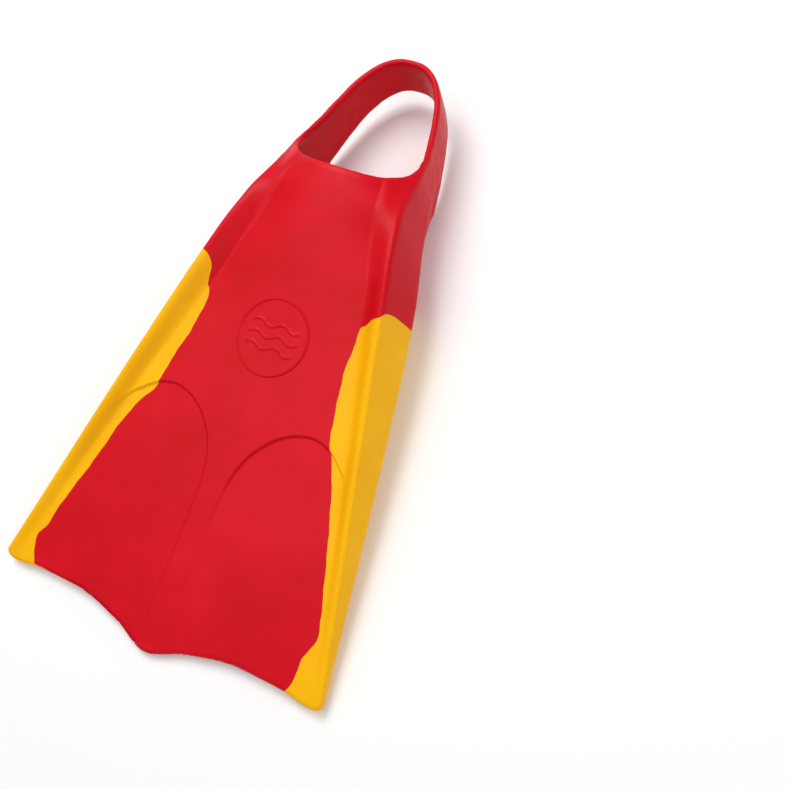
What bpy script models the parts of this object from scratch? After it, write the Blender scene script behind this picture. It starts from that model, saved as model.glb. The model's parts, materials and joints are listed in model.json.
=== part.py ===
"""Bodyboard swim fin, right or left foot alike.

Metres, +Z up, +X to the right seen from above with the blade tip nearest.
The blade points to -Y and the heel strap to +Y. The fin stands on the flat
lower lands of its rails at Z = 0. In the profiles below S runs along the fin,
from TIP_S at the middle of the blade's edge to HEEL_S behind the strap, and
Y = S - MIDDLE_S.
"""

import math

import bmesh
import bpy
from mathutils import Vector

# Driving dimensions
TIP_S = -0.0045
HEEL_S = 0.420
MIDDLE_S = (TIP_S + HEEL_S) / 2
GAP = 0.0003
SEAM = 0.0005
UPPER_WALL = 0.005
SOLE_WALL = 0.006
LAND_WIDTH = 0.0060
LAND_CLEAR = 0.0034          # least distance from the foot's wall to the land's outer edge
LAND_CLEAR_INNER = 0.0014
RIDGE_CLEAR = 0.003
HOLLOW_SHARE = 0.30          # where the wall beside the foot meets the hollow
RAIL_ROUNDING = 0.0030
CREASE_BACKSET = 0.18
STRAP_THICKNESS = 0.0046
STRAP_EDGE = 0.001
STRAP_BULGE = 0.0014
STRAP_BULGE_RUN = 0.05       # the bulge fades out over this length before the heel
SPINE_STEP = 0.0012
SPINE_FLANK = 0.0045
BLADE_FRONT = 0.0102
BLADE_REAR = 0.1450
BLADE_ROWS = 16
RAIL_SPLIT = 0.2350
TOE_WALL_S = 0.1530
SOLE_END_S = 0.3270
EMBLEM_S = 0.2020
EMBLEM_RADIUS = 0.0252
EMBLEM_HEIGHT = 0.0010
DRAIN_S = (0.1565, 0.1710)
DRAIN_HALF_WIDTH = 0.0093
DRAIN_CORNER = 0.003
DRAIN_CUT_Z = 0.015
DRAIN_CUT_HEIGHT = 0.05

# Flex axes, both along X: (S, Z) and the radius of the knuckle cut round them
BLADE_FLEX = (0.1400, 0.0200)
BLADE_KNUCKLE = 0.0265
STRAP_FLEX = (0.3300, 0.0300)
STRAP_KNUCKLE = 0.0276
BLOCK_REACH = 0.25
BLOCK_HEIGHT = 0.3

RED = (0.68, 0.004, 0.018, 1.0)
YELLOW = (0.97, 0.55, 0.003, 1.0)

# Profiles along the fin: (S, value) stations
RIDGE_Z = [(0.0, 0.0070), (0.08, 0.0250), (0.16, 0.0429), (0.20, 0.0510), (0.24, 0.0580),
           (0.27, 0.0622), (0.285, 0.0624), (0.300, 0.0606), (0.320, 0.0553), (0.340, 0.0500),
           (0.360, 0.0458), (0.380, 0.0450), (0.42, 0.0450)]
RIDGE_X = [(0.0, 0.1228), (0.10, 0.0981), (0.20, 0.0737), (0.24, 0.0643), (0.27, 0.0570),
           (0.29, 0.0530), (0.31, 0.0492), (0.33, 0.0478), (0.35, 0.0448), (0.36, 0.0424),
           (0.38, 0.0370)]
CREASE_X = [(0.0, 0.1224), (0.156, 0.0953), (0.254, 0.0753), (0.29, 0.0638), (0.3012, 0.0602),
            (0.325, 0.0532), (0.3357, 0.0498), (0.350, 0.0466), (0.360, 0.0440), (0.380, 0.0386)]
GROOVE_X = [(0.0, 0.1165), (0.16, 0.0730), (0.20, 0.0610), (0.229, 0.0525), (0.254, 0.0460),
            (0.281, 0.0375), (0.3357, 0.0280)]
GROOVE_Z = [(0.0, 0.0067), (0.16, 0.0333), (0.20, 0.0405), (0.229, 0.0460), (0.254, 0.0520),
            (0.281, 0.0585), (0.300, 0.0635), (0.3357, 0.0640)]
MIDLINE_Z = [(0.0, 0.0065), (0.16, 0.0330), (0.202, 0.0405), (0.23, 0.0480), (0.26, 0.0572),
             (0.29, 0.0663), (0.3117, 0.0716), (0.3357, 0.0760)]
POCKET_X = [(0.0, 0.0950), (0.012, 0.0965), (0.03, 0.0995), (0.045, 0.0978), (0.08, 0.0895),
            (0.12, 0.0768), (0.146, 0.0660), (0.153, 0.0420), (0.17, 0.0480), (0.20, 0.0512),
            (0.24, 0.0522), (0.28, 0.0496), (0.31, 0.0452), (0.3357, 0.0425), (0.350, 0.0402),
            (0.360, 0.0378), (0.380, 0.0324)]
SOLE_Z = [(0.0, 0.0025), (0.142, 0.0247), (0.1455, 0.0250), (0.153, 0.0145), (0.20, 0.0105),
          (0.25, 0.0085), (0.30, 0.0070), (0.3357, 0.0062)]
HOLLOW_Z = [(0.0, 0.0025), (0.16, 0.0275), (0.20, 0.0265), (0.25, 0.0190), (0.28, 0.0110),
            (0.31, 0.0060), (0.36, 0.0090), (0.42, 0.0128)]
FOOT_Z = [(0.0, 0.0), (0.30, 0.0), (0.33, 0.0027), (0.36, 0.0066), (0.42, 0.0128)]
ARCH_X = [(0.0, 0.0062), (0.069, 0.0070), (0.0895, 0.0073), (0.105, 0.0081), (0.1165, 0.0101),
          (0.121, 0.0115)]
LIP_S = [(0.0, 0.3137), (0.023, 0.3167), (0.036, 0.3240), (0.048, 0.3365)]
SCALLOP_S = [(0.0, TIP_S), (0.013, -0.0004), (0.020, 0.0030), (0.038, 0.0084), (0.050, 0.0112),
             (0.064, 0.0127), (0.084, 0.0127), (0.0963, 0.0120), (0.106, 0.0106), (0.120, 0.0104)]
STRAP_LOOP = [(0.0450, 0.3357), (0.0425, 0.350), (0.0401, 0.360), (0.0377, 0.370), (0.0348, 0.380),
              (0.0316, 0.390), (0.0266, 0.400), (0.0215, 0.4075), (0.0150, 0.4135),
              (0.0080, 0.4168), (0.0, 0.4177)]


def remove_everything():
    for item in list(bpy.data.objects):
        bpy.data.objects.remove(item, do_unlink=True)


def profile(stations):
    """Return a smooth function through the stations, with no overshoot."""
    places = [place for place, _ in stations]
    values = [value for _, value in stations]
    rises = [(values[i + 1] - values[i]) / (places[i + 1] - places[i]) for i in range(len(places) - 1)]
    slopes = [rises[0]]
    for before, after in zip(rises, rises[1:]):
        slopes.append(0.0 if before * after <= 0 else 2 * before * after / (before + after))
    slopes.append(rises[-1])

    def value_at(place):
        place = min(max(place, places[0]), places[-1])
        index = 0
        while index < len(places) - 2 and place > places[index + 1]:
            index += 1
        span = places[index + 1] - places[index]
        t = (place - places[index]) / span
        return ((1 + 2 * t) * (1 - t) ** 2 * values[index] + t * (1 - t) ** 2 * span * slopes[index]
                + t * t * (3 - 2 * t) * values[index + 1] + t * t * (t - 1) * span * slopes[index + 1])

    return value_at


ridge_z = profile(RIDGE_Z)
ridge_x = profile(RIDGE_X)
crease_x = profile(CREASE_X)
groove_x = profile(GROOVE_X)
groove_z = profile(GROOVE_Z)
midline_z = profile(MIDLINE_Z)
pocket_x = profile(POCKET_X)
sole_z = profile(SOLE_Z)
hollow_z = profile(HOLLOW_Z)
foot_z = profile(FOOT_Z)
arch_x = profile(ARCH_X)
lip_s = profile(LIP_S)
scallop_s = profile(SCALLOP_S)


def at(x, s, z):
    return Vector((x, s - MIDDLE_S, z))


def top_height(x, s):
    """Upper surface between the rail ridges."""
    x = abs(x)
    foot = groove_x(s)
    if x <= foot:
        return midline_z(s) + (groove_z(s) - midline_z(s)) * (x / foot) ** 2
    t = min((x - foot) / (ridge_x(s) - foot), 1.0)
    return groove_z(s) + (ridge_z(s) - groove_z(s)) * t * t * (3 - 2 * t)


def steps(start, end, count):
    return [start + (end - start) * i / count for i in range(count + 1)]


TOE_STATIONS = steps(0.108, 0.146, 8) + steps(0.146, TOE_WALL_S, 5)[1:]


def new_material(name, colour):
    material = bpy.data.materials.new(name)
    material.use_nodes = True
    shader = material.node_tree.nodes["Principled BSDF"]
    shader.inputs["Base Color"].default_value = colour
    shader.inputs["Roughness"].default_value = 0.42
    shader.inputs["Metallic"].default_value = 0.0
    return material


def new_object(name, mesh_data, colour, collection):
    obj = bpy.data.objects.new(name, mesh_data)
    collection.objects.link(obj)
    mesh_data.materials.append(new_material(name + "_rubber", colour))
    return obj


def finished_mesh(name, shape):
    bmesh.ops.recalc_face_normals(shape, faces=shape.faces)
    mesh_data = bpy.data.meshes.new(name)
    shape.to_mesh(mesh_data)
    shape.free()
    mesh_data.shade_smooth()
    mesh_data.set_sharp_from_angle(angle=math.radians(35))
    return mesh_data


def loft(name, sections, colour, collection):
    """Close a run of rings with the same number of points into one body."""
    shape = bmesh.new()
    rings = [[shape.verts.new(point) for point in section] for section in sections]
    count = len(rings[0])
    for ring, following in zip(rings, rings[1:]):
        for i in range(count):
            j = (i + 1) % count
            shape.faces.new((ring[i], ring[j], following[j], following[i]))
    shape.faces.new(rings[0])
    shape.faces.new(list(reversed(rings[-1])))
    return new_object(name, finished_mesh(name, shape), colour, collection)


def plate(name, columns, rows, plan, top, bottom, colour, collection):
    """Make a plate from a grid: plan gives (x, s), top and bottom its two faces."""
    shape = bmesh.new()
    bmesh.ops.create_grid(shape, x_segments=columns, y_segments=rows, size=0.5)
    upper = list(shape.verts)
    places = {vert: plan(vert.co.x + 0.5, vert.co.y + 0.5) for vert in upper}
    grown = bmesh.ops.extrude_face_region(shape, geom=list(shape.faces))
    lower = [item for item in grown["geom"] if isinstance(item, bmesh.types.BMVert)]
    for vert in lower:
        x, s = plan(vert.co.x + 0.5, vert.co.y + 0.5)
        vert.co = at(x, s, bottom(x, s))
    for vert, (x, s) in places.items():
        vert.co = at(x, s, top(x, s))
    return new_object(name, finished_mesh(name, shape), colour, collection)


def rail_section(s, side):
    """Section of a rail and of the wall beside the foot, across X at one S."""
    inner = pocket_x(s) + GAP
    ridge = max(ridge_x(s), inner + RIDGE_CLEAR)
    high = ridge_z(s)
    crease = crease_x(s)
    low = foot_z(s)
    middle = (high + low) / 2
    land_outer = max(crease - CREASE_BACKSET * (high - low), inner + LAND_CLEAR)
    land_inner = max(land_outer - LAND_WIDTH, inner + LAND_CLEAR_INNER)
    hollow = inner + (land_inner - inner) * HOLLOW_SHARE
    hollow_height = max(hollow_z(s), low + 0.0004)
    base = min(max(sole_z(s), low + 0.0002), hollow_height)
    rounding = min(RAIL_ROUNDING, (high - low) * 0.12)
    points = [(inner, top_height(inner, s))]
    for i in (1, 2, 3, 4, 5):
        x = inner + (ridge - inner) * i / 6
        points.append((x, top_height(x, s)))
    points += [
        (ridge, high),
        (ridge + (crease - ridge) * 0.22, high - rounding),
        (crease - (crease - ridge) * 0.10, middle + rounding),
        (crease, middle),
        (land_outer + (crease - land_outer) * 0.12, low + rounding),
        (land_outer, low),
        (land_inner, low),
        (hollow + (land_inner - hollow) * 0.25, low + (hollow_height - low) * 0.92),
        (hollow, hollow_height),
        (inner + (hollow - inner) * 0.6, base + (hollow_height - base) * 0.45),
        (inner, base),
    ]
    return [at(side * x, s, z) for x, z in points]


def build_rail(name, stations, side, colour, collection):
    return loft(name, [rail_section(s, side) for s in stations], colour, collection)


def knuckle(name, flex, radius, half_width, behind, cutters):
    """Cylinder along X about a flex axis, with a block on the side that stays."""
    shape = bmesh.new()
    bmesh.ops.create_cone(shape, cap_ends=True, segments=96, radius1=radius, radius2=radius,
                          depth=2 * half_width)
    for vert in shape.verts:
        along, across, up = vert.co.z, vert.co.x, vert.co.y
        vert.co = at(along, flex[0] + across, flex[1] + up)
    bmesh.ops.recalc_face_normals(shape, faces=shape.faces)
    mesh_data = bpy.data.meshes.new(name)
    shape.to_mesh(mesh_data)
    shape.free()
    drum = bpy.data.objects.new(name, mesh_data)
    cutters.objects.link(drum)
    bpy.ops.mesh.primitive_cube_add(size=1.0)
    block = bpy.context.object
    block.name = name + "_block"
    for vert in block.data.vertices:
        depth = (vert.co.y + 0.5) * BLOCK_REACH * behind
        vert.co = at(vert.co.x * 2 * half_width * 0.999, flex[0] + depth, vert.co.z * BLOCK_HEIGHT)
    if behind < 0:
        block.data.flip_normals()
    for collection in list(block.users_collection):
        collection.objects.unlink(block)
    cutters.objects.link(block)
    union = drum.modifiers.new("with_block", "BOOLEAN")
    union.operation = "UNION"
    union.object = block
    for cutter in (drum, block):
        cutter.hide_render = True
        cutter.display_type = "WIRE"
    return drum


def cut(target, cutter, operation):
    modifier = target.modifiers.new("cut_" + cutter.name, "BOOLEAN")
    modifier.operation = operation
    modifier.object = cutter


def build_rails(collection, rooted, freed, strap_rooted):
    for side, word in ((-1, "left"), (1, "right")):
        front = steps(BLADE_FRONT, BLADE_REAR, BLADE_ROWS)
        rail = build_rail(word + "_rail", front, side, YELLOW, collection)
        cut(rail, freed, "DIFFERENCE")
        middle = TOE_STATIONS + steps(TOE_WALL_S, RAIL_SPLIT - GAP / 2, 14)[1:]
        root = build_rail(word + "_rail_root", middle, side, YELLOW, collection)
        cut(root, rooted, "INTERSECT")
        rear = steps(RAIL_SPLIT + GAP / 2, 0.362, 24)
        wall = build_rail(word + "_side_wall", rear, side, RED, collection)
        cut(wall, strap_rooted, "INTERSECT")


def build_blade(collection, rooted, freed):
    def under(x, s):
        return sole_z(s)

    def spine_half(s):
        return arch_x(s) + SPINE_FLANK

    def spread(u, w, inner, outer):
        s = BLADE_REAR * w
        for _ in range(8):
            x = inner(s) + (outer(s) - inner(s)) * u
            front = scallop_s(abs(x))
            s = front + (BLADE_REAR - front) * w
        return x, s

    def panel_top(x, s):
        return midline_z(s) - SPINE_STEP

    def root_plan(u, w):
        s = min(TOE_STATIONS[round(w * (len(TOE_STATIONS) - 1))], TOE_WALL_S - GAP)
        return (2 * u - 1) * pocket_x(s), s

    rows = len(TOE_STATIONS) - 1
    root = plate("blade_root", 8, rows, root_plan, top_height, under, RED, collection)
    cut(root, rooted, "INTERSECT")

    def spine_plan(u, w):
        return spread(u, w, lambda s: -spine_half(s), spine_half)

    spine = plate("blade_spine", 6, BLADE_ROWS, spine_plan, top_height, under, RED, collection)
    cut(spine, freed, "DIFFERENCE")

    for side, word in ((-1, "left"), (1, "right")):
        def panel_plan(u, w, side=side):
            x, s = spread(u, w, lambda s: spine_half(s) + GAP, pocket_x)
            return side * x, s

        panel = plate(word + "_blade_panel", 10, BLADE_ROWS, panel_plan, panel_top, under, RED, collection)
        cut(panel, freed, "DIFFERENCE")


def build_pocket(collection, cutters):
    def cover_plan(u, w):
        x = 2 * u - 1
        s = TOE_WALL_S
        for _ in range(6):
            rear = lip_s(abs(x) * pocket_x(s))
            s = TOE_WALL_S + (rear - TOE_WALL_S) * w
        return x * (pocket_x(s) - SEAM), s

    def cover_under(x, s):
        return top_height(x, s) - UPPER_WALL

    plate("instep_cover", 18, 20, cover_plan, top_height, cover_under, RED, collection)

    def sole_plan(u, w):
        s = TOE_WALL_S + (SOLE_END_S - TOE_WALL_S) * w
        return (2 * u - 1) * (pocket_x(s) - SEAM), s

    def sole_top(x, s):
        return sole_z(s) + SOLE_WALL

    def sole_under(x, s):
        return sole_z(s)

    sole = plate("sole_plate", 10, 18, sole_plan, sole_top, sole_under, RED, collection)
    bpy.ops.mesh.primitive_cube_add(size=1.0)
    hole = bpy.context.object
    hole.name = "drain_hole_cutter"
    for vert in hole.data.vertices:
        s = DRAIN_S[0] + (DRAIN_S[1] - DRAIN_S[0]) * (vert.co.y + 0.5)
        vert.co = at(vert.co.x * 2 * DRAIN_HALF_WIDTH, s, vert.co.z * DRAIN_CUT_HEIGHT + DRAIN_CUT_Z)
    for linked in list(hole.users_collection):
        linked.objects.unlink(hole)
    cutters.objects.link(hole)
    rounding = hole.modifiers.new("corner_radius", "BEVEL")
    rounding.width = DRAIN_CORNER
    rounding.segments = 4
    hole.hide_render = True
    hole.display_type = "WIRE"
    cut(sole, hole, "DIFFERENCE")


def build_emblem(collection):
    def disc_plan(u, w):
        across, back = 2 * u - 1, 2 * w - 1
        x = EMBLEM_RADIUS * across * math.sqrt(1 - back * back / 2)
        return x, EMBLEM_S + EMBLEM_RADIUS * back * math.sqrt(1 - across * across / 2)

    def seat(x, s):
        return top_height(x, s) + 2 * GAP

    def face(x, s):
        return seat(x, s) + EMBLEM_HEIGHT

    plate("emblem_disc", 12, 12, disc_plan, face, seat, RED, collection)


def strap_sections():
    half = [Vector((x, s, 0.0)) for x, s in STRAP_LOOP]
    path = half + [Vector((-point.x, point.y, 0.0)) for point in reversed(half[:-1])]
    middle = Vector((0.0, (STRAP_LOOP[0][1] + STRAP_LOOP[-1][1]) / 2, 0.0))
    heel_s = STRAP_LOOP[-1][1]
    half_wall = STRAP_THICKNESS / 2
    sections = []
    for i, point in enumerate(path):
        before = path[max(i - 1, 0)]
        after = path[min(i + 1, len(path) - 1)]
        along = (after - before).normalized()
        out = Vector((along.y, -along.x, 0.0))
        if out.dot(point - middle) < 0:
            out = -out
        high = ridge_z(point.y)
        low = foot_z(point.y)
        bulge = STRAP_BULGE * min(1.0, (heel_s - point.y) / STRAP_BULGE_RUN)
        ring = [(-half_wall, high - STRAP_EDGE), (-half_wall + STRAP_EDGE, high),
                (half_wall - STRAP_EDGE, high), (half_wall, high - STRAP_EDGE),
                (half_wall + bulge, (high + low) / 2), (half_wall, low + STRAP_EDGE),
                (half_wall - STRAP_EDGE, low), (-half_wall + STRAP_EDGE, low),
                (-half_wall, low + STRAP_EDGE)]
        sections.append([at(point.x + out.x * off, point.y + out.y * off, z) for off, z in ring])
    return sections


def build_strap(collection, freed):
    strap = loft("heel_strap", strap_sections(), RED, collection)
    cut(strap, freed, "DIFFERENCE")


def main():
    remove_everything()
    parts = bpy.data.collections.new("bodyboard_fin")
    cutters = bpy.data.collections.new("cutters")
    bpy.context.scene.collection.children.link(parts)
    bpy.context.scene.collection.children.link(cutters)
    blade_rooted = knuckle("blade_knuckle", BLADE_FLEX, BLADE_KNUCKLE, 0.14, 1, cutters)
    blade_freed = knuckle("blade_socket", BLADE_FLEX, BLADE_KNUCKLE + GAP, 0.15, 1, cutters)
    strap_rooted = knuckle("strap_knuckle", STRAP_FLEX, STRAP_KNUCKLE, 0.08, -1, cutters)
    strap_freed = knuckle("strap_socket", STRAP_FLEX, STRAP_KNUCKLE + GAP, 0.09, -1, cutters)
    build_rails(parts, blade_rooted, blade_freed, strap_rooted)
    build_blade(parts, blade_rooted, blade_freed)
    build_pocket(parts, cutters)
    build_emblem(parts)
    build_strap(parts, strap_freed)


main()
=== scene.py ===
import json
import math

import bmesh
import bpy
from mathutils import Matrix, Vector
from mathutils.bvhtree import BVHTree
from mathutils.interpolate import poly_3d_calc

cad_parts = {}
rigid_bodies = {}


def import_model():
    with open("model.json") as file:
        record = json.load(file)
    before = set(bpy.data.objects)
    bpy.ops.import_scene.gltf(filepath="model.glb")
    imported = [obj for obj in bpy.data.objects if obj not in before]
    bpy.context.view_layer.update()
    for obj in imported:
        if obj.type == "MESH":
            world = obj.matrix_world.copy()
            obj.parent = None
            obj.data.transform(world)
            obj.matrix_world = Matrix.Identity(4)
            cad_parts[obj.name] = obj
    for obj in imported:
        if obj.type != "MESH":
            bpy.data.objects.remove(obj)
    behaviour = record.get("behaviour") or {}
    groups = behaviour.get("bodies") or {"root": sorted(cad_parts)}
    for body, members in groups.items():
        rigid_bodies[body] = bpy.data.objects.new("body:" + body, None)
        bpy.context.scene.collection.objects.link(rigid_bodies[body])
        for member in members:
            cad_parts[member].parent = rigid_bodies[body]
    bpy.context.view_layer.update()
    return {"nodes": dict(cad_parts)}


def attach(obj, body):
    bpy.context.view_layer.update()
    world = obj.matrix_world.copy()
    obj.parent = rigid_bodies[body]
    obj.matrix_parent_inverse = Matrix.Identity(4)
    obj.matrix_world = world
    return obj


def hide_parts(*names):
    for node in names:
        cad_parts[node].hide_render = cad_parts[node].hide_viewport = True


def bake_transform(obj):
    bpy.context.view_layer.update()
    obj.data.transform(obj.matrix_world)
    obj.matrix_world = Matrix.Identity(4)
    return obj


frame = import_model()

print("frame loaded:", len(frame["nodes"]), "nodes")

# Everything is in metres. The blade's edge is at -Y and the heel strap at +Y.
# s runs along the fin, Y is s + datumY, and the fin is symmetric about X = 0.
tipS = -0.0045            # the middle point of the blade's edge
heelS = 0.420             # just behind the strap
datumY = -(tipS + heelS) / 2


# small helpers
def smoothCurve(stations):
    # smooth function through (s, value) stations, with no overshoot
    stops = [s for s, value in stations]
    values = [value for s, value in stations]
    rises = [(values[i + 1] - values[i]) / (stops[i + 1] - stops[i]) for i in range(len(stops) - 1)]
    slopes = [rises[0]]
    for before, after in zip(rises, rises[1:]):
        slopes.append(0.0 if before * after <= 0 else 2 * before * after / (before + after))
    slopes.append(rises[-1])

    def valueAt(s):
        s = min(max(s, stops[0]), stops[-1])
        index = 0
        while index < len(stops) - 2 and s > stops[index + 1]:
            index += 1
        span = stops[index + 1] - stops[index]
        t = (s - stops[index]) / span
        return ((1 + 2 * t) * (1 - t) ** 2 * values[index] + t * (1 - t) ** 2 * span * slopes[index]
                + t * t * (3 - 2 * t) * values[index + 1] + t * t * (t - 1) * span * slopes[index + 1])

    return valueAt


def ease(low, high, value):
    t = min(max((value - low) / (high - low), 0.0), 1.0)
    return t * t * (3 - 2 * t)


def spread(start, end, count):
    return [start + (end - start) * i / count for i in range(count + 1)]


def place(x, s, z):
    return Vector((x, datumY + s, z))


def roundedOutline(points, stepsPerSpan):
    # Catmull-Rom curve through an open run of points
    run = [Vector(point) for point in points]
    run = [2 * run[0] - run[1]] + run + [2 * run[-1] - run[-2]]
    outline = []
    for before, start, end, after in zip(run, run[1:], run[2:], run[3:]):
        for i in range(stepsPerSpan):
            t = i / stepsPerSpan
            bend = 2 * before - 5 * start + 4 * end - after
            twist = 3 * start - before - 3 * end + after
            outline.append(0.5 * (2 * start + (end - before) * t + bend * t ** 2 + twist * t ** 3))
    outline.append(run[-2])
    return outline


def cornerPoints(before, corner, after, radius, count):
    # round one corner of a section with a short parabola
    before, corner, after = Vector(before), Vector(corner), Vector(after)
    start = corner + (before - corner).normalized() * min(radius, (before - corner).length * 0.45)
    end = corner + (after - corner).normalized() * min(radius, (after - corner).length * 0.45)
    return [start * (1 - t) ** 2 + corner * 2 * t * (1 - t) + end * t ** 2 for t in spread(0.0, 1.0, count)]


def newPiece(name, shape):
    meshData = bpy.data.meshes.new(name)
    shape.to_mesh(meshData)
    shape.free()
    piece = bpy.data.objects.new(name, meshData)
    bpy.context.scene.collection.objects.link(piece)
    return piece


def sweptSolid(name, rings):
    # a grid rolled into a tube through the rings, its ends closed
    shape = bmesh.new()
    count, rows = len(rings[0]), len(rings) - 1
    bmesh.ops.create_grid(shape, x_segments=count, y_segments=rows, size=0.5)
    for vert in shape.verts:
        column = round((vert.co.x + 0.5) * count) % count
        vert.co = rings[round((vert.co.y + 0.5) * rows)][column]
    bmesh.ops.remove_doubles(shape, verts=shape.verts, dist=1e-7)
    bmesh.ops.holes_fill(shape, edges=[edge for edge in shape.edges if edge.is_boundary], sides=0)
    bmesh.ops.recalc_face_normals(shape, faces=shape.faces)
    return newPiece(name, shape)


def prism(name, outline, low, high):
    # plan outline of (x, s) points, extruded upwards
    shape = bmesh.new()
    base = shape.faces.new([shape.verts.new(place(x, s, low)) for x, s in outline])
    grown = bmesh.ops.extrude_face_region(shape, geom=[base])
    top = [item for item in grown["geom"] if isinstance(item, bmesh.types.BMVert)]
    bmesh.ops.translate(shape, verts=top, vec=Vector((0, 0, high - low)))
    bmesh.ops.recalc_face_normals(shape, faces=shape.faces)
    return newPiece(name, shape)


def applied(piece):
    # bake the modifiers into the mesh and drop them
    graph = bpy.context.evaluated_depsgraph_get()
    baked = bpy.data.meshes.new_from_object(piece.evaluated_get(graph), depsgraph=graph)
    piece.modifiers.clear()
    old = piece.data
    piece.data = baked
    bpy.data.meshes.remove(old)
    return piece


def combine(piece, other, operation):
    cut = piece.modifiers.new(operation.lower(), "BOOLEAN")
    cut.operation = operation
    cut.solver = "MANIFOLD"
    cut.object = other
    return applied(piece)


def copyOf(piece, name):
    twin = bpy.data.objects.new(name, piece.data.copy())
    bpy.context.scene.collection.objects.link(twin)
    return twin


def discard(*pieces):
    for piece in pieces:
        meshData = piece.data
        bpy.data.objects.remove(piece, do_unlink=True)
        bpy.data.meshes.remove(meshData)


def mirrored(outline):
    return [Vector((-point.x, point.y)) for point in outline]


def distanceTo(line, x, s):
    # distance from a plan point to a run of points, and which side of the run it is on
    point = Vector((abs(x), s))
    nearest, side = 1.0, 1.0
    for start, end in zip(line, line[1:]):
        along = end - start
        t = min(max((point - start).dot(along) / along.length_squared, 0.0), 1.0)
        gap = (point - start - along * t).length
        if gap < nearest:
            nearest = gap
            side = 1.0 if along.x * (point.y - start.y) - along.y * (point.x - start.x) < 0 else -1.0
    return nearest, side


# form of the fin
form = {
    "ridgeHeight": [(0, .0070), (.08, .0250), (.16, .0429), (.20, .0510), (.24, .0580), (.27, .0622),
                    (.285, .0624), (.300, .0606), (.320, .0553), (.340, .0500), (.360, .0458),
                    (.380, .0450), (.42, .0450)],
    "ridgeHalf": [(0, .1228), (.10, .0986), (.20, .0745), (.24, .0652), (.27, .0578), (.29, .0534),
                  (.31, .0492), (.33, .0478), (.35, .0448), (.36, .0424)],
    "creaseHalf": [(0, .1224), (.156, .0953), (.254, .0753), (.29, .0638), (.3012, .0602),
                   (.325, .0532), (.3357, .0498), (.350, .0466), (.360, .0440)],
    "grooveHalf": [(0, .1165), (.16, .0730), (.20, .0610), (.229, .0525), (.254, .0460), (.281, .0375),
                   (.3357, .0280)],
    "grooveHeight": [(0, .0067), (.16, .0333), (.20, .0405), (.229, .0460), (.254, .0520),
                     (.281, .0585), (.300, .0635), (.3357, .0640)],
    "middleHeight": [(0, .0065), (.16, .0330), (.202, .0405), (.23, .0480), (.26, .0572),
                     (.29, .0663), (.3117, .0716), (.3357, .0760)],
    "pocketHalf": [(0, .0950), (.045, .0978), (.08, .0895), (.12, .0768), (.146, .0600), (.153, .0500),
                   (.17, .0495), (.20, .0512), (.24, .0522), (.28, .0496), (.31, .0452),
                   (.3357, .0425), (.350, .0402), (.360, .0378)],
    "soleHeight": [(0, .0130), (.153, .0130), (.20, .0105), (.25, .0085), (.30, .0070), (.3357, .0062)],
    "hollowHeight": [(0, .0025), (.08, .0150), (.142, .0247), (.165, .0270), (.20, .0265), (.25, .0190),
                     (.28, .0110), (.31, .0060), (.36, .0090)],
    "footHeight": [(0, 0), (.30, 0), (.33, .0027), (.36, .0066), (.42, .0128)],
    "landWidth": .006,        # flat foot under each rail
    "creaseBackset": .18,     # how far the lower facet leans in, to its height
    "landClear": (.0034, .0014),  # least distance of the flat foot's two edges from the wall
    "hollowShare": .30,       # where the wall beside the foot meets the hollow
    "ridgeRound": .0042,
    "creaseRound": .0009,
    "footRound": .0012,
    "soleFront": .1485,       # where the sole rises from the blade
    "soleCorner": .024,
    "soleBank": .0060,        # half the width of the rounded bank round the sole
    "spineHalf": [(0, .0020), (.057, .0030), (.097, .0070), (.12, .0120), (.1445, .0250)],
    "spineHeight": .0012,
    "spineFlank": .003,
    "pocketFront": .17,       # the sole keeps the width it has here, further forward
    "soleMargin": .002,
    "start": -.008,
    "rearCut": .346,
    "rows": 177,
}

ridgeHeight = smoothCurve(form["ridgeHeight"])
ridgeHalf = smoothCurve(form["ridgeHalf"])
creaseHalf = smoothCurve(form["creaseHalf"])
grooveHalf = smoothCurve(form["grooveHalf"])
grooveHeight = smoothCurve(form["grooveHeight"])
middleHeight = smoothCurve(form["middleHeight"])
pocketHalf = smoothCurve(form["pocketHalf"])
soleHeight = smoothCurve(form["soleHeight"])
hollowHeight = smoothCurve(form["hollowHeight"])
footHeight = smoothCurve(form["footHeight"])
spineHalf = smoothCurve(form["spineHalf"])


def topHeight(x, s):
    x = abs(x)
    foot = grooveHalf(s)
    if x <= foot:
        return middleHeight(s) + (grooveHeight(s) - middleHeight(s)) * (x / foot) ** 2
    return grooveHeight(s) + (ridgeHeight(s) - grooveHeight(s)) * ease(foot, ridgeHalf(s), x)


def underHeight(x, s):
    # blade underside, the banked sole under the foot and the narrow spine before it
    x = abs(x)
    corner, bank = form["soleCorner"], form["soleBank"]
    soleEdge = pocketHalf(max(s, form["pocketFront"])) + form["soleMargin"]
    across = max(x - (soleEdge - corner), 0.0)
    ahead = max(form["soleFront"] + corner - s, 0.0)
    outside = math.hypot(across, ahead) - corner
    sole = 1 - ease(-bank, bank, outside)
    spine = 1 - ease(spineHalf(s), spineHalf(s) + form["spineFlank"], x)
    blade = hollowHeight(s) - form["spineHeight"] * spine
    return blade + (soleHeight(s) - blade) * sole


def hollowHalf(s):
    inner = pocketHalf(s)
    landOuter = creaseHalf(s) - form["creaseBackset"] * (ridgeHeight(s) - footHeight(s))
    return inner + (landOuter - form["landWidth"] - inner) * form["hollowShare"]


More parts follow.
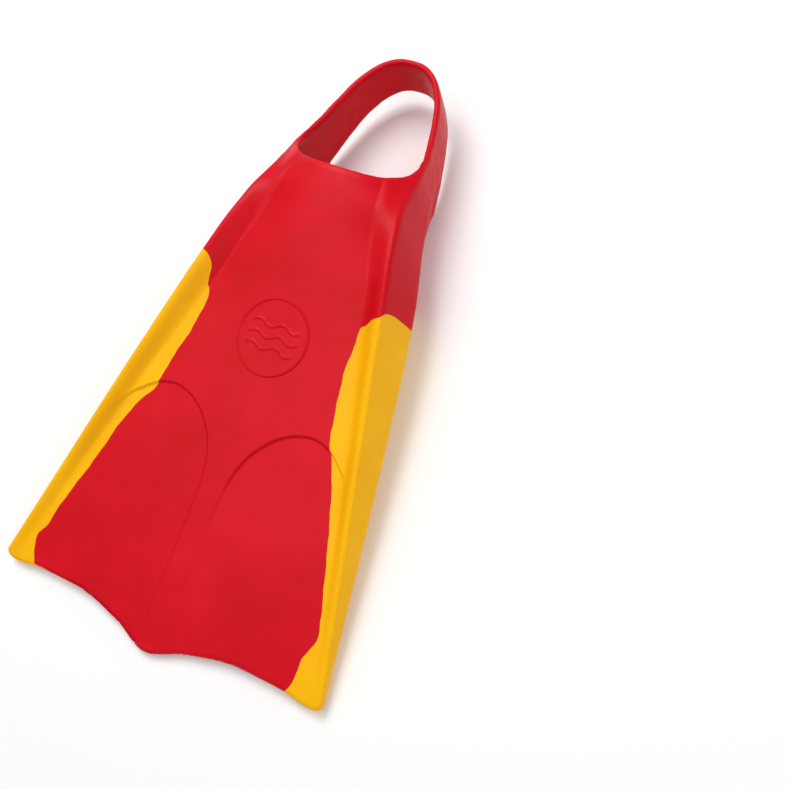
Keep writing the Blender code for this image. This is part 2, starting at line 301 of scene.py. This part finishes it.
def bodySection(s):
    ridge, high = ridgeHalf(s), ridgeHeight(s)
    crease, low = creaseHalf(s), footHeight(s)
    clearOuter, clearInner = form["landClear"]
    landOuter = max(crease - form["creaseBackset"] * (high - low), pocketHalf(s) + clearOuter)
    landInner = max(landOuter - form["landWidth"], pocketHalf(s) + clearInner)
    hollow = pocketHalf(s) + (landInner - pocketHalf(s)) * form["hollowShare"]
    top = (ridge, high)
    edge = (crease, (high + low) / 2)
    heel, toe = (landOuter, low), (landInner, low)
    inTop = ridge - form["ridgeRound"]
    half = [(x, topHeight(x, s)) for x in spread(0.0, inTop, 40)]
    half += cornerPoints(half[-1], top, edge, form["ridgeRound"], 6)[1:]
    facet = cornerPoints(top, edge, heel, form["creaseRound"], 4)
    half += [Vector(half[-1]).lerp(facet[0], t) for t in (0.25, 0.5, 0.75)] + facet
    foot = cornerPoints(edge, heel, toe, form["footRound"], 4)
    half += [facet[-1].lerp(foot[0], t) for t in (0.25, 0.5, 0.75)] + foot
    half += [((landOuter + landInner) / 2, low)]
    rise = underHeight(hollow, s) - low
    half += [(landInner + (hollow - landInner) * t, low + rise * (1 - (1 - t) ** 2))
             for t in spread(0.0, 1.0, 8)]
    half += [(x, underHeight(x, s)) for x in spread(hollow, 0.0, 36)[1:]]
    ring = [place(x, s, z) for x, z in half]
    return ring + [Vector((-point.x, point.y, point.z)) for point in reversed(ring[1:-1])]


# the openings cut into the moulded body
opening = {
    # half outlines as (half width, s)
    "mouth": [(0, .3146), (.012, .3153), (.023, .3176), (.0322, .3216), (.0382, .3268), (.0412, .3338),
              (.0418, .3405), (.0402, .350), (.0378, .360)],
    "heel": [(0, .3275), (.014, .3278), (.025, .3292), (.0335, .3325), (.0385, .3378), (.0402, .3450),
             (.0402, .350), (.0378, .360)],
    "drainFront": .1545,
    "drainRear": .1700,
    "drainHalf": .0094,
    "drainCorner": .0030,
    "drainReach": (-.02, .0235),
    "notchHalf": .0040,
    "notchDepth": .0022,
    "upperWall": .0050,
    "soleWall": .0060,
    "toe": .1560,
    "noseRun": .012,          # the cavity's round end takes this length
    "noseLeast": .1,
    "noseNarrow": .3,
    "openingOut": (.27, .33),
    "sideThick": .0035,       # more rubber beside the foot further in
    "cavityEnd": .350,
    "cavityRows": 96,
    "cavityPoints": 72,
    "cavitySquare": (2.6, 4),
    "levels": {"mouth": (.030, .12), "heel": (-.03, .032)},
    "trailing": [(0, -.0045), (.002, -.0043), (.013, -.0006), (.020, .0029), (.038, .0084), (.050, .0112),
                 (.064, .0127), (.084, .0127), (.0963, .0120), (.106, .0104), (.1135, .0101),
                 (.1180, .0115), (.1203, .0145), (.1225, .0190)],
    "trailingSpan": .13,
    "trailingFront": -.02,
}

trailingEdge = smoothCurve(opening["trailing"])


def cavitySection(s):
    ceiling = middleHeight(s) - opening["upperWall"]
    floor = soleHeight(s) + opening["soleWall"]
    opened = ease(*opening["openingOut"], s)
    halfWidth = pocketHalf(s) - opening["sideThick"] * (1 - opened)
    square, squareGain = opening["cavitySquare"]
    squareness = 2 / (square + squareGain * opened)
    least, narrow = opening["noseLeast"], opening["noseNarrow"]
    nose = math.sqrt(min(max((s - opening["toe"]) / opening["noseRun"], 0.0), 1.0)) * (1 - least) + least
    middle, half = (ceiling + floor) / 2, (ceiling - floor) / 2 * nose
    ring = []
    for i in range(opening["cavityPoints"]):
        angle = 2 * math.pi * i / opening["cavityPoints"]
        c, n = math.cos(angle), math.sin(angle)
        x = halfWidth * (1 - narrow + narrow * nose) * math.copysign(abs(c) ** squareness, c)
        z = middle + half * math.copysign(abs(n) ** squareness, n)
        if n > 0:
            z = min(z, topHeight(x, s) - opening["upperWall"])
        ring.append(place(x, s, z))
    return ring


strap = {
    "loop": [(.0458, .3300), (.0450, .3357), (.0425, .350), (.0401, .360), (.0377, .370), (.0348, .380),
             (.0316, .390), (.0266, .400), (.0215, .4075), (.0150, .4135), (.0080, .4168), (0, .4177)],
    "thickness": .0046,
    "bulge": .0014,
    "bulgeRun": .05,          # the bulge fades out over this length before the back
    "rimRound": .0012,
    "waistRound": .006,
    "middle": .37,
}


def strapSections():
    half = roundedOutline(strap["loop"], 4)
    path = half + list(reversed(mirrored(half[:-1])))
    wall, rim = strap["thickness"] / 2, strap["rimRound"]
    rear = strap["loop"][-1][1]
    sections = []
    for i, point in enumerate(path):
        along = (path[min(i + 1, len(path) - 1)] - path[max(i - 1, 0)]).normalized()
        out = Vector((along.y, -along.x))
        if out.dot(point - Vector((0.0, strap["middle"]))) < 0:
            out = -out
        high, low = ridgeHeight(point.y), footHeight(point.y)
        bulge = strap["bulge"] * min(1.0, (rear - point.y) / strap["bulgeRun"])
        inner, outer = (-wall, high), (wall, high)
        innerFoot, outerFoot = (-wall, low), (wall, low)
        waist = (wall + bulge, (high + low) / 2)
        ring = cornerPoints(innerFoot, inner, outer, rim, 4) + cornerPoints(inner, outer, waist, rim, 4)
        ring += cornerPoints(outer, waist, outerFoot, strap["waistRound"], 4)
        ring += cornerPoints(waist, outerFoot, innerFoot, rim, 4)
        ring += cornerPoints(outerFoot, innerFoot, inner, rim, 4)
        sections.append([place(point.x + out.x * off, point.y + out.y * off, z) for off, z in ring])
    return sections


skin = {
    "voxel": .0011,
    "smoothing": 6,
    "settleLimit": .0007,     # how far a point may be moved onto its true height
    "settleReach": .0040,     # kept back from rounded edges
    "settleStart": .0016,
    "edgeClear": .001,
    "lipClear": .002,
    "underBand": .02,
    "facing": .6,             # how flat a face has to lie to be settled
    "rearLimit": .34,
    "lipFrom": .29,
    "lipTo": .350,
    "lipBand": .0045,
    "heelBand": .0035,
    "strapFrom": .318,
    "lipSmoothing": 26,
    "thinSmoothing": 10,      # for the strap and the blade's edge
    "edgeBand": .0022,
}


def mouldedBody():
    stations = spread(form["start"], form["rearCut"], form["rows"])
    body = sweptSolid("mouldedBody", [bodySection(s) for s in stations])
    cutters = []
    reach, front = opening["trailingSpan"], opening["trailingFront"]
    edge = [(x, trailingEdge(abs(x))) for x in spread(-reach, reach, 260)]
    cutters.append(prism("trailingCut", [(-reach, front)] + edge + [(reach, front)], -0.02, 0.06))
    stations = spread(opening["toe"], opening["cavityEnd"], opening["cavityRows"])
    cutters.append(sweptSolid("footCavity", [cavitySection(s) for s in stations]))
    for name, (low, high) in opening["levels"].items():
        half = roundedOutline(opening[name], 6)
        cutters.append(prism(name + "Cut", half + list(reversed(mirrored(half[1:]))), low, high))
    cutters.append(drainCut())
    for cutter in cutters:
        combine(body, cutter, "DIFFERENCE")
    loop = sweptSolid("strapLoop", strapSections())
    combine(body, loop, "UNION")
    discard(loop, *cutters)
    remesh = body.modifiers.new("skin", "REMESH")
    remesh.mode = "VOXEL"
    remesh.voxel_size = skin["voxel"]
    soften = body.modifiers.new("soften", "SMOOTH")
    soften.factor = 0.5
    soften.iterations = skin["smoothing"]
    return applied(body)


def finishSkin(piece):
    # settle the broad faces onto their true heights, then round the mouth's lip
    shape = bmesh.new()
    shape.from_mesh(piece.data)
    shape.normal_update()
    lip = roundedOutline(opening["mouth"], 3)
    heel = roundedOutline(opening["heel"], 3)
    start, reach, clear = skin["settleStart"], skin["settleReach"], skin["edgeClear"]
    rims, thin = [], []
    for vert in shape.verts:
        x, s = abs(vert.co.x), vert.co.y - datumY
        fromEdge = s - trailingEdge(x)
        if s > skin["lipFrom"]:
            nearLip = distanceTo(lip, x, s)[0]
            nearHeel = distanceTo(heel, x, s)[0]
            if s < skin["lipTo"] and (nearLip < skin["lipBand"] or nearHeel < skin["heelBand"]):
                rims.append(vert)
            fromEdge = min(fromEdge, nearLip - skin["lipClear"], nearHeel - skin["lipClear"])
        if s > skin["strapFrom"] or fromEdge < skin["edgeBand"]:
            thin.append(vert)
        if s > skin["rearLimit"]:
            continue
        if vert.normal.z > skin["facing"]:
            height = topHeight(x, s)
            fromEdge = min(fromEdge, ridgeHalf(s) - form["ridgeRound"] - x)
        elif vert.normal.z < -skin["facing"] and x < pocketHalf(s) + skin["underBand"]:
            height = underHeight(x, s)
            fromEdge = min(fromEdge, hollowHalf(s) - clear - x, drainDistance(x, s) - clear)
        else:
            continue
        if abs(vert.co.z - height) < skin["settleLimit"]:
            vert.co.z += (height - vert.co.z) * ease(start, reach, fromEdge)
    for verts, times in ((rims, skin["lipSmoothing"]), (thin, skin["thinSmoothing"])):
        for _ in range(times):
            bmesh.ops.smooth_vert(shape, verts=verts, factor=0.5, use_axis_x=True, use_axis_y=True,
                                  use_axis_z=True)
    shape.to_mesh(piece.data)
    shape.free()


def drainDistance(x, s):
    middle = (opening["drainFront"] + opening["drainRear"]) / 2
    half = (opening["drainRear"] - opening["drainFront"]) / 2
    return math.hypot(max(x - opening["drainHalf"], 0), max(abs(s - middle) - half, 0))


def drainCut():
    front, rear = opening["drainFront"], opening["drainRear"]
    half, notch, depth = opening["drainHalf"], opening["notchHalf"], opening["notchDepth"]
    outline = [(-half, rear), (-half, front), (-notch, front), (-notch, front - depth),
               (notch, front - depth), (notch, front), (half, front), (half, rear)]
    hole = prism("drainCut", outline, *opening["drainReach"])
    rounding = hole.modifiers.new("corners", "BEVEL")
    rounding.width = opening["drainCorner"]
    rounding.segments = 3
    rounding.limit_method = "ANGLE"
    return applied(hole)


body = mouldedBody()
finishSkin(body)
print("moulded body:", len(body.data.polygons), "faces")


# raised tongue on the blade
arch = {
    # edge of the raised tongue as (half width, s), from the tip out to the rail
    "edge": [(.0062, -.020), (.0062, .004), (.0066, .024), (.0068, .046), (.0070, .068), (.0073, .0895),
             (.0081, .105), (.0101, .1165), (.0136, .1262), (.0190, .1350), (.0268, .1437),
             (.0350, .1495), (.0430, .1528), (.0510, .1542), (.0590, .1532), (.0655, .1505),
             (.0705, .1470), (.0740, .1440), (.080, .1385), (.086, .128)],
    "rear": .157,
    "depth": .0018,
    "ramp": .0014,
    "fineBand": .0032,
    "mildSideDepth": .0002,   # the right edge melts away towards the tip
    "mildSideReach": (.075, .130),
    "railFade": (-.004, .006),    # the step dies out across the foot of the rail
    "facing": .2,
}

archLine = roundedOutline(arch["edge"], 5)


def insideArch(x, s):
    # distance to the tongue's edge, positive on the panel's side of it
    nearest, side = distanceTo(archLine, x, s)
    return nearest * side


def stepDepth(x, s):
    depth = arch["depth"]
    if x > 0:
        depth = arch["mildSideDepth"] + (depth - arch["mildSideDepth"]) * ease(*arch["mildSideReach"], s)
    fadeIn, fadeOut = arch["railFade"]
    railFade = 1 - ease(grooveHalf(s) + fadeIn, grooveHalf(s) + fadeOut, abs(x))
    return depth * railFade * ease(0.0, arch["ramp"], insideArch(x, s))


def sinkPanels(piece):
    shape = bmesh.new()
    shape.from_mesh(piece.data)
    shape.normal_update()

    def onTop(vert):
        x, s = vert.co.x, vert.co.y - datumY
        halfway = (topHeight(x, s) + underHeight(x, s)) / 2
        return s < arch["rear"] and vert.normal.z > arch["facing"] and vert.co.z > halfway

    near = {vert for vert in shape.verts if onTop(vert)}
    band = [edge for edge in shape.edges if edge.verts[0] in near and edge.verts[1] in near
            and abs(insideArch(edge.verts[0].co.x, edge.verts[0].co.y - datumY)) < arch["fineBand"]]
    bmesh.ops.subdivide_edges(shape, edges=band, cuts=2, use_grid_fill=True)
    shape.normal_update()
    for vert in shape.verts:
        if onTop(vert):
            vert.co.z -= stepDepth(vert.co.x, vert.co.y - datumY)
    shape.to_mesh(piece.data)
    shape.free()


sinkPanels(body)
body.data.shade_smooth()
print("tongue raised above the panels:", len(body.data.polygons), "faces")


# splitting the skin by colour and part
colourLine = {
    # inner edge of the yellow as (s, half width), on top and on the sole side
    "leftTop": [(0, .0930), (.013, .0975), (.023, .1023), (.031, .1035), (.038, .1000), (.0535, .0968),
                (.0834, .0882), (.0941, .0852), (.1166, .0797), (.1353, .0724), (.1459, .0660),
                (.152, .0640), (.1568, .0629), (.1659, .0618), (.1884, .0567), (.211, .0542),
                (.2176, .0555), (.2198, .0575), (.2310, .0585), (.2345, .0600), (.2372, .0640),
                (.2390, .0750), (.2396, .0950)],
    "rightTop": [(0, .0900), (.0119, .0941), (.0159, .0965), (.0235, .0974), (.0335, .0976),
                 (.0409, .0999), (.049, .1019), (.0572, .0997), (.0734, .0945), (.0979, .0862),
                 (.1129, .0807), (.1259, .0759), (.1413, .0695), (.1488, .0657), (.1533, .0632),
                 (.169, .0592), (.1834, .0564), (.2007, .0539), (.2144, .0539), (.2262, .0534),
                 (.2285, .0575), (.2310, .0605), (.2328, .0655), (.2375, .0680), (.2400, .0715),
                 (.2406, .0950)],
    "leftSole": [(0, .0640), (.020, .0700), (.039, .0830), (.079, .0790), (.127, .0670), (.149, .0520),
                 (.157, .0460), (.184, .0450), (.199, .0470), (.217, .0570), (.235, .0600),
                 (.270, .0580)],
    "rightSole": [(0, .0650), (.016, .0715), (.021, .0790), (.032, .0890), (.0535, .0980), (.077, .0985),
                  (.10, .0930), (.13, .0860), (.16, .0785), (.20, .0710), (.24, .0600), (.270, .0580)],
    "sideTurn": .2345,        # where the yellow leaves the upper facet
    "sideEnd": .266,          # and where it runs out at the foot
    "wave": .0002,            # the two rubbers meet in a slightly uneven line
    "waveTurns": (300, 730),
    "soleLift": .0010,
    "topDrop": .0024,
    "turnDrop": .0004,
    "outside": (.155, -.03, .10),
}


def railCutter(name, side):
    topLine = smoothCurve(colourLine[name + "Top"])
    soleLine = smoothCurve(colourLine[name + "Sole"])
    turn, end = colourLine["sideTurn"], colourLine["sideEnd"]
    longTurn, shortTurn = colourLine["waveTurns"]
    xOut, low, high = colourLine["outside"]
    rings = []
    for s in spread(-0.01, 0.27, 280):
        wave = colourLine["wave"] * (math.sin(s * longTurn + side) + 0.5 * math.sin(s * shortTurn))
        xTop, xSole = topLine(s) + wave, soleLine(s) + wave
        zSole = hollowHeight(s) + colourLine["soleLift"]
        zTop = topHeight(xTop, s) - colourLine["topDrop"]
        if s > turn:
            zTop = (ridgeHeight(turn) / 2) * (1 - (s - turn) / (end - turn))
            zSole = zTop - colourLine["turnDrop"]
        ring = [(xSole, low), (xSole, zSole), (xTop, zTop), (xTop, high), (xOut, high), (xOut, low)]
        rings.append([place(side * x, s, z) for x, z in ring])
    return sweptSolid(name + "RailCut", rings)


def box(name, low, high):
    return prism(name, [(low[0], low[1]), (high[0], low[1]), (high[0], high[1]), (low[0], high[1])],
                 low[2], high[2])


def upperHalf():
    rings = []
    for s in spread(0.15, 0.36, 42):
        z = (ridgeHeight(s) + footHeight(s)) / 2
        rings.append([place(x, s, height) for x, height in ((-0.2, z), (0.2, z), (0.2, 0.2), (-0.2, 0.2))])
    return sweptSolid("upperHalf", rings)


parting = {"toeLine": .165, "strapLine": .322}


def takeOut(source, cutter, name):
    # the part of the source inside the cutter becomes a piece of its own
    piece = combine(copyOf(source, name), cutter, "INTERSECT")
    combine(source, cutter, "DIFFERENCE")
    return piece


normalReach = {"corner": .00004, "face": .0002, "facing": .6}

smoothSource = bmesh.new()
smoothSource.from_mesh(body.data)
smoothSource.faces.ensure_lookup_table()
smoothSource.normal_update()
smoothTree = BVHTree.FromBMesh(smoothSource)


def keepSkinNormals(piece):
    # the cut pieces keep the shading of the one skin they came from
    meshData = piece.data
    skinNormals = []
    for vert in meshData.vertices:
        spot, _, index, gap = smoothTree.find_nearest(vert.co)
        if gap > normalReach["corner"]:
            skinNormals.append(None)
            continue
        face = smoothSource.faces[index]
        weights = poly_3d_calc([corner.co for corner in face.verts], spot)
        normal = sum((corner.normal * weight for corner, weight in zip(face.verts, weights)), Vector())
        skinNormals.append(normal.normalized())
    loopNormals = [None] * len(meshData.loops)
    for face in meshData.polygons:
        centre = smoothTree.find_nearest(face.center)
        onSkin = centre[3] < normalReach["face"] and centre[1].dot(face.normal) > normalReach["facing"]
        for loop in face.loop_indices:
            normal = skinNormals[meshData.loops[loop].vertex_index]
            loopNormals[loop] = normal if onSkin and normal else face.normal.copy()
    meshData.shade_smooth()
    meshData.normals_split_custom_set(loopNormals)


pieces = {}
for side, word in ((-1, "left"), (1, "right")):
    cutter = railCutter(word, side)
    pieces[word + "Rail"] = takeOut(body, cutter, word + "Rail")
    discard(cutter)
    outline = archLine + [Vector((0.15, 0.120)), Vector((0.15, -0.020))]
    if side < 0:
        outline = mirrored(outline)
    cutter = prism(word + "PanelCut", outline, -0.05, 0.15)
    pieces[word + "Panel"] = takeOut(body, cutter, word + "Panel")
    discard(cutter)
cutter = box("bladeZone", (-0.2, -0.02, -0.05), (0.2, parting["toeLine"], 0.15))
pieces["bladeTongue"] = takeOut(body, cutter, "bladeTongue")
discard(cutter)
cutter = box("strapZone", (-0.2, parting["strapLine"], -0.05), (0.2, 0.5, 0.15))
pieces["heelStrap"] = takeOut(body, cutter, "heelStrap")
discard(cutter)
cutter = upperHalf()
pieces["instepCover"] = takeOut(body, cutter, "instepCover")
discard(cutter)
body.name = "solePlate"
pieces["solePlate"] = body
for name, piece in pieces.items():
    keepSkinNormals(piece)
    print(name, len(piece.data.polygons), "faces")


# round badge on the instep
badge = {
    "s": .202,
    "radius": .0252,
    "rimWidth": .0016,
    "rimHeight": .0009,
    "rimFullness": .7,
    "face": .0002,
    "waveHeight": .0006,
    "waveWidth": .0015,
    "waveLength": .017,
    "waveSwing": .0016,
    "waveRows": (-.0075, 0.0, .0075),
    "waveEnd": (.72, .80),    # where the waves fade, as shares of the radius
    "waveEdge": (.55, 1.25),
    "sunk": .0006,
    "rings": 72,
    "spokes": 144,
}


def badgeHeight(x, y):
    # height above the instep: a rounded rim and three plain waves
    radius = math.hypot(x, y)
    rimMiddle = badge["radius"] - badge["rimWidth"] / 2
    height = badge["face"]
    fromRim = abs(radius - rimMiddle) / (badge["rimWidth"] / 2)
    height += (badge["rimHeight"] - badge["face"]) * max(0.0, 1 - fromRim ** 2) ** badge["rimFullness"]
    if radius > rimMiddle:
        height = max(height - badge["face"] * ease(rimMiddle, badge["radius"], radius), 0.0)
    start, end = (share * badge["radius"] for share in badge["waveEnd"])
    inside = 1 - ease(start, end, abs(x) * 1.05 + abs(y) * 0.25)
    for row in badge["waveRows"]:
        swing = badge["waveSwing"] * math.sin(2 * math.pi * x / badge["waveLength"])
        gap = abs(y - row - swing) / (badge["waveWidth"] / 2)
        height += badge["waveHeight"] * inside * (1 - ease(*badge["waveEdge"], gap))
    return height


def makeBadge():
    shape = bmesh.new()
    centre = shape.verts.new((0, 0, 0))
    rim = shape.verts.new((badge["radius"], 0, 0))
    spoke = shape.edges.new((centre, rim))
    bmesh.ops.subdivide_edges(shape, edges=[spoke], cuts=badge["rings"] - 1)
    bmesh.ops.spin(shape, geom=list(shape.verts) + list(shape.edges), cent=(0, 0, 0), axis=(0, 0, 1),
                   angle=2 * math.pi, steps=badge["spokes"], use_merge=True)
    bmesh.ops.remove_doubles(shape, verts=shape.verts, dist=1e-6)
    bmesh.ops.recalc_face_normals(shape, faces=shape.faces)
    if sum(face.normal.z for face in shape.faces) < 0:
        bmesh.ops.reverse_faces(shape, faces=shape.faces)
    upper = list(shape.verts)
    grown = bmesh.ops.extrude_face_region(shape, geom=list(shape.faces))
    lower = [item for item in grown["geom"] if isinstance(item, bmesh.types.BMVert)]
    for verts, isUpper in ((upper, False), (lower, True)):
        for vert in verts:
            x, y = vert.co.x, vert.co.y
            s = badge["s"] + y
            lift = badgeHeight(x, y) if isUpper else -badge["sunk"]
            vert.co = place(x, s, topHeight(x, s) + lift)
    bmesh.ops.recalc_face_normals(shape, faces=shape.faces)
    piece = newPiece("badge", shape)
    piece.data.shade_smooth()
    piece.data.set_sharp_from_angle(angle=math.radians(50))
    return piece


pieces["badge"] = makeBadge()
print("badge made")


# materials
def linear(hexColour):
    # sRGB hex to the linear colour that shaders take
    channels = [int(hexColour[i:i + 2], 16) / 255 for i in (1, 3, 5)]
    return [c / 12.92 if c <= 0.04045 else ((c + 0.055) / 1.055) ** 2.4 for c in channels] + [1.0]


def addNode(tree, kind, settings=None, links=None):
    node = tree.nodes.new(kind)
    for key, value in (settings or {}).items():
        if isinstance(key, str) and hasattr(node, key):
            setattr(node, key, value)
        else:
            node.inputs[key].default_value = value
    for key, source in (links or {}).items():
        tree.links.new(source, node.inputs[key])
    return node


rubber = {
    "crimson": {"deep": "#C60314", "bright": "#D60720"},
    "yellow": {"deep": "#F5AF02", "bright": "#FBBB04"},
    "cloud": .045,            # size of the faint clouds of pigment
    "mottle": .006,           # size of the patchy gloss left by the mould
    "grain": .0009,           # mould texture, drawn coarser than the real 0.2 mm
    "grainDepth": .000012,
    "roughness": (.34, .46),
    "ior": 1.52,
    "specular": .13,          # the rubber is dusted, so its shine is weak
}


def mouldedRubber(name, deep, bright):
    # natural rubber, compression moulded: even colour, satin gloss, very fine mould grain
    material = bpy.data.materials.new(name)
    material.use_nodes = True
    tree = material.node_tree
    shader = tree.nodes["Principled BSDF"]
    shader.inputs["IOR"].default_value = rubber["ior"]
    shader.inputs["Specular IOR Level"].default_value = rubber["specular"]
    where = addNode(tree, "ShaderNodeTexCoord").outputs["Object"]
    cloud = addNode(tree, "ShaderNodeTexNoise",
                    {"Scale": 1 / rubber["cloud"], "Detail": 3.0, "Roughness": 0.55}, {"Vector": where})
    blend = addNode(tree, "ShaderNodeValToRGB", links={"Fac": cloud.outputs["Fac"]})
    blend.color_ramp.elements[0].position = 0.30
    blend.color_ramp.elements[1].position = 0.70
    blend.color_ramp.elements[0].color = linear(deep)
    blend.color_ramp.elements[1].color = linear(bright)
    tree.links.new(blend.outputs["Color"], shader.inputs["Base Color"])
    mottle = addNode(tree, "ShaderNodeTexNoise", {"Scale": 1 / rubber["mottle"], "Detail": 4.0},
                     {"Vector": where})
    gloss = addNode(tree, "ShaderNodeMapRange", {"From Min": 0.3, "From Max": 0.7,
                                                 "To Min": rubber["roughness"][0],
                                                 "To Max": rubber["roughness"][1]},
                    {"Value": mottle.outputs["Fac"]})
    tree.links.new(gloss.outputs["Result"], shader.inputs["Roughness"])
    grain = addNode(tree, "ShaderNodeTexNoise", {"Scale": 1 / rubber["grain"], "Detail": 2.0},
                    {"Vector": where})
    bump = addNode(tree, "ShaderNodeBump", {"Strength": 0.6, "Distance": rubber["grainDepth"]},
                   {"Height": grain.outputs["Fac"]})
    tree.links.new(bump.outputs["Normal"], shader.inputs["Normal"])
    return material


crimsonRubber = mouldedRubber("crimsonMouldedRubber", rubber["crimson"]["deep"], rubber["crimson"]["bright"])
yellowRubber = mouldedRubber("yellowMouldedRubber", rubber["yellow"]["deep"], rubber["yellow"]["bright"])
for name, piece in pieces.items():
    piece.data.materials.clear()
    piece.data.materials.append(yellowRubber if name.endswith("Rail") else crimsonRubber)
print("materials set")


for name in ("leftRail", "rightRail", "leftPanel", "rightPanel", "bladeTongue"):
    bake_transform(pieces[name])
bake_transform(pieces["heelStrap"])
for name in ("instepCover", "solePlate", "badge"):
    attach(pieces[name], "foot_pocket")
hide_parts("left_rail", "left_rail_root")
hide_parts("right_rail", "right_rail_root")
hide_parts("left_blade_panel")
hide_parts("right_blade_panel")
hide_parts("blade_spine", "blade_root")
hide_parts("heel_strap")
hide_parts("instep_cover", "left_side_wall", "right_side_wall")
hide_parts("sole_plate")
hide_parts("emblem_disc")


# floor, light and camera
studio = {
    "floorColour": "#FAFAFA",
    "worldStrength": 0.40,
    "lights": [
        # name, where it stands, what it looks at, side, watts
        ("backLeft", (-0.50, 0.60, 1.25), (0.0, 0.0, 0.0), 0.8, 12.5),
        ("overBlade", (-0.40, -0.20, 1.20), (0.0, -0.05, 0.0), 0.7, 2.6),
        ("rightFill", (0.90, -0.10, 0.90), (0.0, 0.0, 0.02), 0.8, 3.6),
    ],
    "cameraPlace": (0.265, -0.12695, 0.5296),
    "cameraRight": (0.8959, 0.4053, -0.1819),
    "cameraUp": (-0.3336, 0.8842, 0.3268),
    "lens": 40.43,
    "shiftX": -0.045,
}


def makeStudio():
    scene = bpy.context.scene
    shape = bmesh.new()
    bmesh.ops.create_grid(shape, x_segments=1, y_segments=1, size=6.0)
    floor = newPiece("studioFloor", shape)
    matt = bpy.data.materials.new("mattWhiteBoard")
    matt.use_nodes = True
    shader = matt.node_tree.nodes["Principled BSDF"]
    shader.inputs["Base Color"].default_value = linear(studio["floorColour"])
    shader.inputs["Roughness"].default_value = 0.9
    floor.data.materials.append(matt)
    world = bpy.data.worlds.new("paleStudio")
    scene.world = world
    world.use_nodes = True
    world.node_tree.nodes["Background"].inputs["Color"].default_value = (1, 1, 1, 1)
    world.node_tree.nodes["Background"].inputs["Strength"].default_value = studio["worldStrength"]
    for name, stand, target, side, watts in studio["lights"]:
        lamp = bpy.data.lights.new(name, "AREA")
        lamp.size = side
        lamp.energy = watts
        light = bpy.data.objects.new(name, lamp)
        light.location = stand
        light.rotation_euler = (Vector(target) - Vector(stand)).to_track_quat("-Z", "Y").to_euler()
        scene.collection.objects.link(light)
    lens = bpy.data.cameras.new("camera")
    lens.lens = studio["lens"]
    lens.shift_x = studio["shiftX"]
    lens.clip_start = 0.01
    camera = bpy.data.objects.new("camera", lens)
    right = Vector(studio["cameraRight"]).normalized()
    up = Vector(studio["cameraUp"]).normalized()
    back = right.cross(up).normalized()
    turned = Matrix((right, back.cross(right), back)).transposed().to_4x4()
    camera.matrix_world = Matrix.Translation(studio["cameraPlace"]) @ turned
    scene.collection.objects.link(camera)
    scene.camera = camera
    scene.view_settings.view_transform = "Standard"


makeStudio()
print("studio ready")
